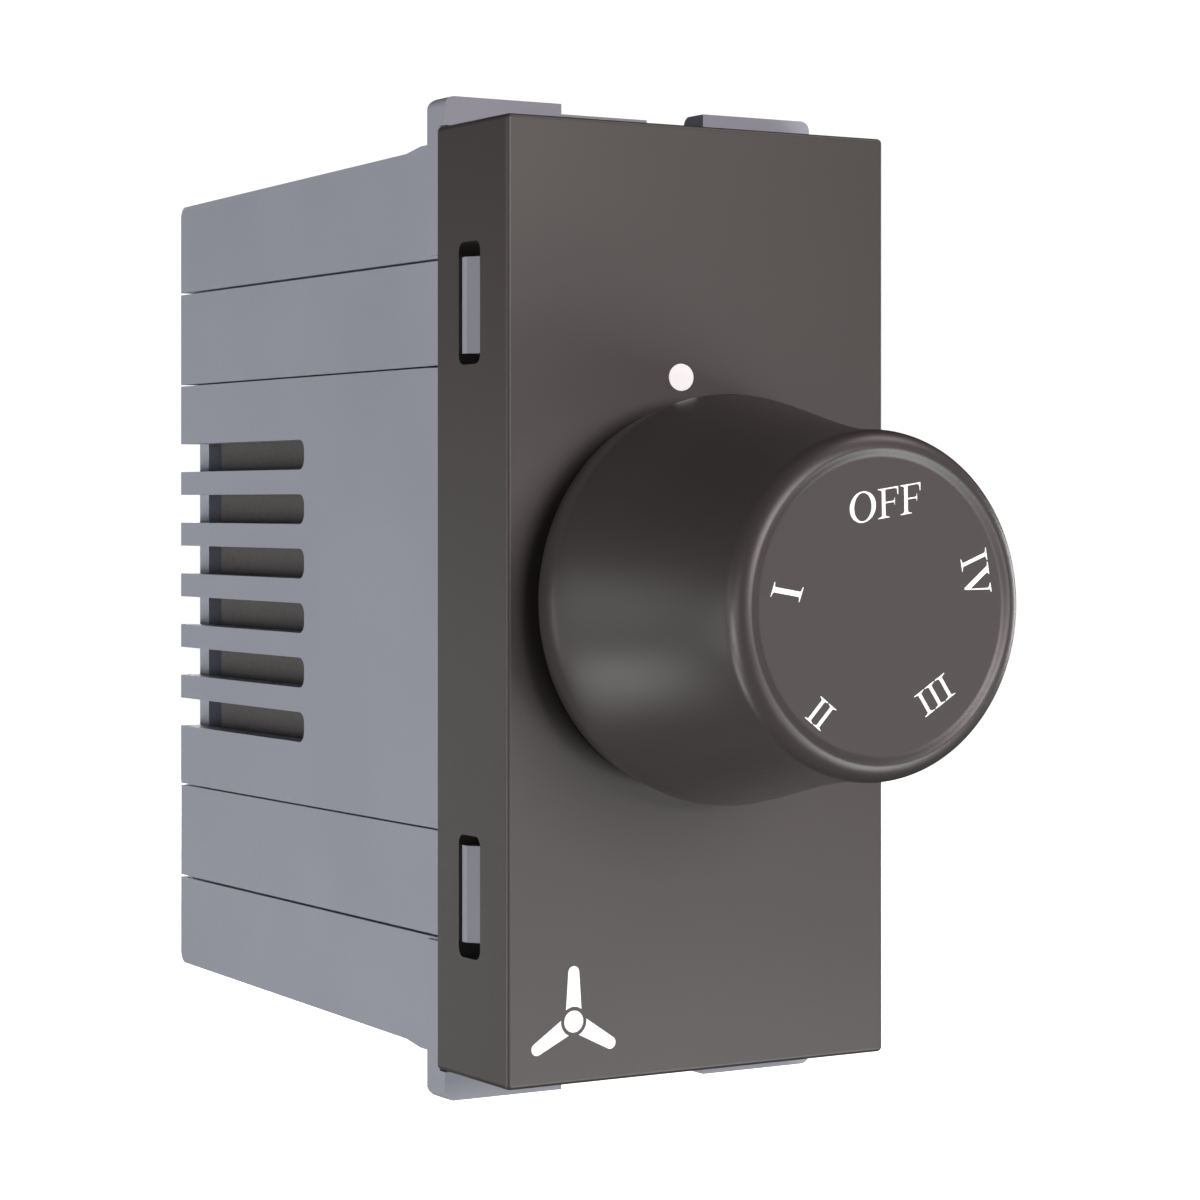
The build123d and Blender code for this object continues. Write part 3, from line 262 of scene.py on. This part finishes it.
def turned(profile, frontY, rearY, around):
    # (r sin a, y, r cos a) for every profile point and angle, closed by a point on the axis at either end
    angle = np.linspace(0, 2 * np.pi, around, endpoint=False)
    radius, depth = profile[:, :1], profile[:, 1:]
    ring = np.stack([radius * np.sin(angle), depth + 0 * angle, radius * np.cos(angle)], axis=2)
    ring = ring.reshape(-1, 3)
    rows, here = np.arange(len(profile) - 1)[:, None], np.arange(around)
    ahead = (here + 1) % around
    first, second = rows * around + here, rows * around + ahead
    quads = np.stack([first, second, second + around, first + around], axis=2).reshape(-1, 4)
    poles = len(ring)
    last = poles - around
    caps = np.stack([np.full(around, poles), ahead, here], axis=1).tolist()
    caps += np.stack([np.full(around, poles + 1), last + here, last + ahead], axis=1).tolist()
    corners = np.concatenate([ring, [(0, frontY, 0), (0, rearY, 0)]])
    return corners, quads.tolist() + caps


def carried(outline, depths, scales):
    # outline in x and z repeated at each depth and closed at both ends; where a scale is not 1, the points
    # beyond the bore are multiplied by it
    count, layers = len(outline), len(depths)
    far = np.linalg.norm(outline, axis=1, keepdims=True)
    rings = [np.where(far > hubForm["bore"] + 0.1, outline * scale, outline) for scale in scales]
    corners = np.concatenate([np.stack([ring[:, 0], np.full(count, depth), ring[:, 1]], axis=1)
                              for ring, depth in zip(rings, depths)])
    here = np.arange(count)
    ahead = (here + 1) % count
    rows = np.arange(layers - 1)[:, None] * count
    sides = np.stack([rows + here, rows + count + here, rows + count + ahead, rows + ahead], axis=2)
    ends = [here.tolist(), ((layers - 1) * count + here[::-1]).tolist()]
    return corners, sides.reshape(-1, 4).tolist() + ends


def boreLine(turn):
    # circle of the bore, cut off below by the flat: (r sin a, the larger of r cos a and minus the flat)
    bore = hubForm["bore"]
    return np.stack([bore * np.sin(turn), np.maximum(bore * np.cos(turn), -hubForm["flat"])], axis=1)


def ringShell(outer, inner, depths):
    # wall between an outer and an inner line with the same number of points, from one depth to the other
    count = len(outer)
    corners = np.concatenate([np.stack([line[:, 0], np.full(count, depth), line[:, 1]], axis=1)
                              for line in (outer, inner) for depth in depths])
    here = np.arange(count)
    ahead = (here + 1) % count
    # outside, rear, bore and front, each between two of the four rings
    sides = [np.stack([a * count + here, b * count + here, b * count + ahead, a * count + ahead], axis=1)
             for a, b in ((0, 1), (1, 3), (3, 2), (2, 0))]
    return corners, np.concatenate(sides).tolist()


def circleLine(radius, turn):
    # (r sin a, r cos a)
    return radius * np.stack([np.sin(turn), np.cos(turn)], axis=1)


def hubWall():
    # whole ring in front of the slit, two halves beside it, with a seat for the clip round the halves
    innerFront = knobForm["frontY"] + knobForm["faceWall"] - hubForm["sunk"]
    slitY = hubForm["rearY"] - hubForm["slitDepth"]
    wholeTurn = np.linspace(2 * np.pi, 0, 2 * hubForm["points"], endpoint=False)
    outside = circleLine(hubForm["radius"], wholeTurn)
    shells = [ringShell(outside, boreLine(wholeTurn), (innerFront, slitY))]
    seat = hubForm["seatRadius"] / hubForm["radius"]
    depths = [slitY - hubForm["sunk"], hubForm["seatFront"], hubForm["seatFront"], hubForm["seatRear"],
              hubForm["seatRear"], hubForm["rearY"]]
    outerReach = math.acos(hubForm["slit"] / 2 / hubForm["radius"])
    boreReach = math.acos(hubForm["slit"] / 2 / hubForm["bore"])
    for middle in (0, math.pi):
        outerTurn = np.linspace(middle + outerReach, middle - outerReach, hubForm["points"])
        boreTurn = np.linspace(middle - boreReach, middle + boreReach, hubForm["points"])
        outline = np.concatenate([circleLine(hubForm["radius"], outerTurn), boreLine(boreTurn)])
        shells.append(carried(outline, depths, [1, 1, seat, seat, 1, 1]))
    return shells


def ribs():
    # flat walls that stand out from the hub, evenly turned round it
    innerFront = knobForm["frontY"] + knobForm["faceWall"] - hubForm["sunk"]
    outer = knobForm["frontRadius"] - knobForm["wall"] / 2
    half = ribForm["width"] / 2
    inner = ribForm["inner"]
    plain = np.array([(inner, -half), (outer, -half), (outer, half), (inner, half)])
    shells = []
    for step in range(ribForm["count"]):
        a = math.radians(ribForm["turn"] + 360 * step / ribForm["count"])
        line = plain @ np.array([(math.cos(a), math.sin(a)), (-math.sin(a), math.cos(a))])
        shells.append(carried(line, [innerFront, ribForm["rearY"]], [1, 1]))
    return shells


def newPiece(name, shells, slot, body, crease=None):
    # all shells in one mesh, in metres; it is smooth where faces meet at less than the crease, in degrees
    corners, faces = [], []
    start = 0
    for shellCorners, shellFaces in shells:
        corners.append(shellCorners)
        faces += [[start + corner for corner in face] for face in shellFaces]
        start += len(shellCorners)
    mesh = bpy.data.meshes.new(name)
    mesh.from_pydata((np.concatenate(corners) * mm).tolist(), [], faces)
    mesh.update()
    if crease:
        mesh.shade_smooth()
        mesh.set_sharp_from_angle(angle=math.radians(crease))
    mesh.materials.append(materials[slot])
    piece = bpy.data.objects.new(name, mesh)
    bpy.context.scene.collection.objects.link(piece)
    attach(piece, body)
    return piece


knobShell = turned(knobProfile(knobForm), knobForm["frontY"] + knobForm["faceDepth"],
                   knobForm["frontY"] + knobForm["faceWall"], knobForm["around"])
turnedKnob = newPiece("turnedKnob", [knobShell] + hubWall() + ribs(), "knob_plastic", "knob_spindle",
                      knobForm["crease"])
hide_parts("knob")
print("knob turned")


# printed marks

def ellipse(width, height, points):
    # (width / 2 sin t, height / 2 cos t) for t once round, clockwise from the top
    t = np.linspace(0, 2 * np.pi, points, endpoint=False)
    return np.stack([width / 2 * np.sin(t), height / 2 * np.cos(t)], axis=1)[::-1]


def serifStem(size, height, serif):
    # upright stroke: half width is the serif's in the slab, then falls by the third power to the stem's
    share = np.linspace(0, 1, size["bracketSteps"])
    rise = np.concatenate([[0], size["slab"] + size["bracket"] * share])
    fall = np.concatenate([[1], (1 - share) ** 3])
    half = size["stem"] / 2 + (serif - size["stem"]) / 2 * fall
    up = np.concatenate([rise, height - rise[::-1]]) - height / 2
    wide = np.concatenate([half, half[::-1]])
    right = np.stack([wide, up], axis=1)
    return np.concatenate([right, right[::-1] * (-1, 1)])


def letterF(size):
    # stem with a foot serif both ways, long top arm with a serif down, short middle arm with one both ways
    top, foot, thin = size["height"] / 2, -size["height"] / 2, size["thin"]
    low, high = -size["width"] / 2, size["width"] / 2
    left = low + size["footSerif"]
    right = left + size["stem"]
    middle = foot + size["middleRise"]
    tick = size["armSerif"]
    end = size["middleEnd"]
    toe = right + size["footSerif"]
    half = thin / 2
    return np.array([
        (low, foot), (toe, foot), (toe, foot + half), (right + thin, foot + thin), (right, foot + 2 * thin),
        (right, middle - half), (end - 1.5 * thin, middle - half), (end - half, middle - thin),
        (end, middle - tick / 2), (end, middle + tick / 2), (end - half, middle + thin),
        (end - 1.5 * thin, middle + half), (right, middle + half), (right, top - thin),
        (high - 2.5 * thin, top - thin), (high - thin, top - 1.7 * thin), (high - half, top - tick),
        (high, top - tick), (high, top), (low, top), (low, top - half), (left - thin, top - thin),
        (left, top - 2 * thin), (left, foot + 2 * thin), (left - thin, foot + thin), (low, foot + half)])


def letterV(size):
    # thick stroke down from the left, thin stroke up to the right, a serif on top of each
    top, thin, point = size["height"] / 2, size["thin"], size["point"]
    thick, fine = size["stem"] / 2, thin / 2
    left, right = -size["spread"] / 2, size["spread"] / 2
    wide, short = size["serif"] / 2, size["shortSerif"] / 2
    under = top - fine
    return np.array([
        (point - fine, -top), (point + fine, -top), (right + fine, under - 2 * thin),
        (right + thin, under - fine), (right + short, under), (right + short, top), (right - short, top),
        (right - short, under), (right - thin, under - fine), (right - fine, under - 2 * thin),
        (point + thick, -top + size["crotch"]), (left + thick + thin, under - 2 * thin),
        (left + thick + thin, under - fine), (left + wide, under), (left + wide, top), (left - wide, top),
        (left - wide, under), (left - thick, under - fine), (left - thick + fine, under - 2 * thin)])


def fanBlade(sign, turn):
    # blade along its own axis: hollow root round the hub, straight sides, half-round tip, turned clockwise
    rootHalf = sign["rootWidth"] / 2
    tipHalf = sign["tipWidth"] / 2
    edge = math.asin(rootHalf / sign["rootRadius"])
    a = np.linspace(-edge, edge, sign["arcPoints"])
    root = sign["rootRadius"] * np.stack([np.sin(a), np.cos(a)], axis=1)
    b = np.linspace(0, np.pi, sign["arcPoints"])
    tip = np.stack([tipHalf * np.cos(b), sign["reach"] - tipHalf + tipHalf * np.sin(b)], axis=1)
    c, s = math.cos(turn), math.sin(turn)
    return np.concatenate([root, tip]) @ np.array([(c, -s), (s, c)])


def printed(name, outlines, face, body):
    # each outline is carried from just inside the face to just in front of it and closed by flat ends;
    # a pair of outlines makes a ring between an outer and an inner line
    depths = (face - mark["proud"], face + mark["sunk"])
    shells = [ringShell(*line, depths) if isinstance(line, tuple) else carried(line, depths, (1, 1))
              for line in outlines]
    return newPiece(name, shells, "white_print", body)


# millimetres; the print stands a little proud of the moulding and starts just inside it
mark = {"proud": 0.02, "sunk": 0.01, "coverFace": -8.0, "knobFace": -22.59}

dot = {"x": -1.158, "z": 10.511, "width": 1.37, "height": 1.28, "points": 64}
dotLine = ellipse(dot["width"], dot["height"], dot["points"]) + (dot["x"], dot["z"])
printed("positionDot", [dotLine], mark["coverFace"], "mechanism")

sign = {"x": -7.09, "z": -19.58, "hubWidth": 1.02, "hubPoints": 48, "rootRadius": 0.69, "rootWidth": 0.83,
        "tipWidth": 0.59, "reach": 2.58, "arcPoints": 13, "blades": 3}
signLines = [ellipse(sign["hubWidth"], sign["hubWidth"], sign["hubPoints"])]
signLines += [fanBlade(sign, 2 * math.pi * step / sign["blades"]) for step in range(sign["blades"])]
printed("fanSign", [line + (sign["x"], sign["z"]) for line in signLines], mark["coverFace"], "mechanism")

roman = {"stem": 0.17, "slab": 0.035, "bracket": 0.10, "bracketSteps": 6}
capital = {"height": 1.31, "width": 1.10, "stem": 0.19, "thin": 0.065, "footSerif": 0.21, "middleRise": 0.67,
           "middleEnd": 0.36, "armSerif": 0.36}
letterO = {"width": 1.40, "height": 1.37, "innerWidth": 0.94, "innerHeight": 1.24, "points": 48}
vee = {"height": 1.50, "spread": 0.88, "stem": 0.22, "thin": 0.08, "serif": 0.55, "shortSerif": 0.41,
       "crotch": 0.34, "point": -0.03}
offLetters = {"letterO": -1.25, "firstF": 0.115, "secondF": 1.327}
fourStrokes = {"stroke": -0.72, "vee": 0.36, "height": 1.505, "serif": 0.56}


def strokes(count, stem, height, serif, gap):
    # row of upright strokes, centred on the mark
    places = (np.arange(count) - (count - 1) / 2) * (serif + gap)
    return [serifStem({**roman, "stem": stem}, height, serif) + (x, 0) for x in places]


def offMark():
    # letter O as a ring between two ellipses, then two letters F
    ring = tuple(ellipse(letterO[wide], letterO[high], letterO["points"]) + (offLetters["letterO"], 0)
                 for wide, high in (("width", "height"), ("innerWidth", "innerHeight")))
    return [ring] + [letterF(capital) + (offLetters[name], 0) for name in ("firstF", "secondF")]


def fourMark():
    # one upright stroke, then a letter V
    stroke = serifStem(roman, fourStrokes["height"], fourStrokes["serif"]) + (fourStrokes["stroke"], 0)
    return [stroke, letterV(vee) + (fourStrokes["vee"], 0)]


# each mark has its middle on the face, and the directions of its line and of its upright strokes there,
# because the photograph shows the ring of marks printed slightly askew
knobMarks = {
    "markOff": {"lines": offMark(), "middle": (0.18, 4.54), "along": (1.0, 0.145), "up": (-0.02, 1.0)},
    "markOne": {"lines": strokes(1, 0.24, 1.53, 0.667, 0.0), "middle": (-5.075, 0.705),
                "along": (0.33, 0.944), "up": (-0.987, 0.17)},
    "markTwo": {"lines": strokes(2, 0.165, 1.238, 0.485, 0.055), "middle": (-3.319, -4.589),
                "along": (-0.798, 0.603), "up": (-0.691, -0.723)},
    "markThree": {"lines": strokes(3, 0.17, 1.126, 0.603, 0.06), "middle": (2.843, -3.965),
                  "along": (-0.852, -0.524), "up": (0.564, -0.826)},
    "markFour": {"lines": fourMark(), "middle": (5.14, 1.301),
                 "along": (0.17, -0.985), "up": (0.933, 0.359)},
}


def laid(line, look):
    # x times the direction of the line plus z times the direction of the strokes, from the middle
    return line @ np.array([look["along"], look["up"]]) + look["middle"]


for name, look in knobMarks.items():
    placed = [tuple(laid(part, look) for part in line) if isinstance(line, tuple) else laid(line, look)
              for line in look["lines"]]
    printed(name, placed, mark["knobFace"], "knob_spindle")
print("marks printed:", len(knobMarks) + 2)


# floor, light and camera

stage = {"floorZ": -60 * mm, "reach": 8.0, "tone": (0.92, 0.92, 0.92), "roughness": 0.9, "specular": 0.1,
         "glow": 1.02}


def paleFloor():
    # flat square, x and y from -reach to reach
    side = np.array([-1, 1]) * stage["reach"]
    x, y = np.meshgrid(side, side)
    corners = np.stack([x.ravel(), y.ravel(), np.full(4, stage["floorZ"])], axis=1)
    mesh = bpy.data.meshes.new("paleFloor")
    mesh.from_pydata(corners.tolist(), [], [(0, 1, 3, 2)])
    floor = bpy.data.objects.new("paleFloor", mesh)
    bpy.context.scene.collection.objects.link(floor)
    material, _, shader, _ = newMaterial("floorPaint")
    shader.inputs["Base Color"].default_value = (*stage["tone"], 1)
    shader.inputs["Roughness"].default_value = stage["roughness"]
    shader.inputs["Specular IOR Level"].default_value = stage["specular"]
    shader.inputs["Emission Color"].default_value = (1, 1, 1, 1)
    shader.inputs["Emission Strength"].default_value = stage["glow"]
    mesh.materials.append(material)
    # the floor is there for the camera; it throws no light or shade on the object, which hangs above it
    floor.visible_diffuse = floor.visible_glossy = floor.visible_shadow = False


def softLight(name, look):
    # square lamp on a sphere round the object, facing its middle: r (sin a cos e, -cos a cos e, sin e)
    lamp = bpy.data.lights.new(name, "AREA")
    lamp.size = studio["lampSide"]
    lamp.energy = look["power"]
    lamp.color = look.get("tint", (1, 1, 1))
    around, up = math.radians(look["around"]), math.radians(look["up"])
    away = studio["lampDistance"]
    level = away * math.cos(up)
    holder = bpy.data.objects.new(name, lamp)
    holder.location = (level * math.sin(around), -level * math.cos(around), away * math.sin(up))
    holder.rotation_euler = (math.pi / 2 - up, 0, around)
    holder.visible_camera = False
    bpy.context.scene.collection.objects.link(holder)


# degrees round from the front (to the right is positive) and up; power in watts
lights = {
    "frontLight": {"around": 10, "up": 12, "power": 2.16, "tint": (1.0, 0.89, 0.91)},
    "lowFrontLight": {"around": 10, "up": -25, "power": 0.45},
    "lowRightLight": {"around": 35, "up": -25, "power": 1.57},
    "highRightLight": {"around": 60, "up": 48, "power": 0.80, "tint": (1.0, 0.86, 0.89)},
    "rightLight": {"around": 95, "up": 0, "power": 1.03, "tint": (1.0, 0.97, 0.99)},
    "frontLeftLight": {"around": -60, "up": 0, "power": 0.36},
    "leftLight": {"around": -85, "up": -15, "power": 1.50, "tint": (1.0, 0.92, 0.95)},
    "rearLeftLight": {"around": -115, "up": 0, "power": 0.28},
    "lowRearLeftLight": {"around": -115, "up": -35, "power": 0.95},
    "grazingLeftLight": {"around": -150, "up": -8, "power": 0.20},
    "rearLight": {"around": 165, "up": 8, "power": 1.5},
}
studio = {"lampDistance": 0.6, "lampSide": 0.22, "backdrop": 1.05, "room": 0.02}
eye = {"place": (-85.075 * mm, -139.397 * mm, 4.45 * mm), "yaw": -31.15, "lens": 98.52, "sensor": 36.0,
       "nearest": 10 * mm, "frameSize": 1200, "horizonRow": 505}

paleFloor()
for name, look in lights.items():
    softLight(name, look)


def paleRoom():
    # white backdrop for the camera and a dim even room for the object
    sky = bpy.data.worlds.new("paleRoom")
    sky.use_nodes = True
    nodes, links = sky.node_tree.nodes, sky.node_tree.links
    choose = nodes.new("ShaderNodeMix")
    links.new(nodes.new("ShaderNodeLightPath").outputs["Is Camera Ray"], choose.inputs["Factor"])
    choose.inputs["A"].default_value = studio["room"]
    choose.inputs["B"].default_value = studio["backdrop"]
    links.new(choose.outputs["Result"], nodes["Background"].inputs["Strength"])
    nodes["Background"].inputs["Color"].default_value = (1, 1, 1, 1)
    bpy.context.scene.world = sky


paleRoom()
bpy.context.scene.view_settings.view_transform = "Standard"  # plain tones, as in the photograph

camera = bpy.data.cameras.new("photoView")
camera.lens = eye["lens"]
camera.sensor_width = eye["sensor"]
camera.shift_y = eye["horizonRow"] / eye["frameSize"] - 0.5  # the eye looks level, above the frame's middle
camera.clip_start = eye["nearest"]
holder = bpy.data.objects.new("photoView", camera)
holder.location = eye["place"]
holder.rotation_euler = (math.pi / 2, 0, math.radians(eye["yaw"]))
bpy.context.scene.collection.objects.link(holder)
bpy.context.scene.camera = holder
print("stage, lights and camera set")
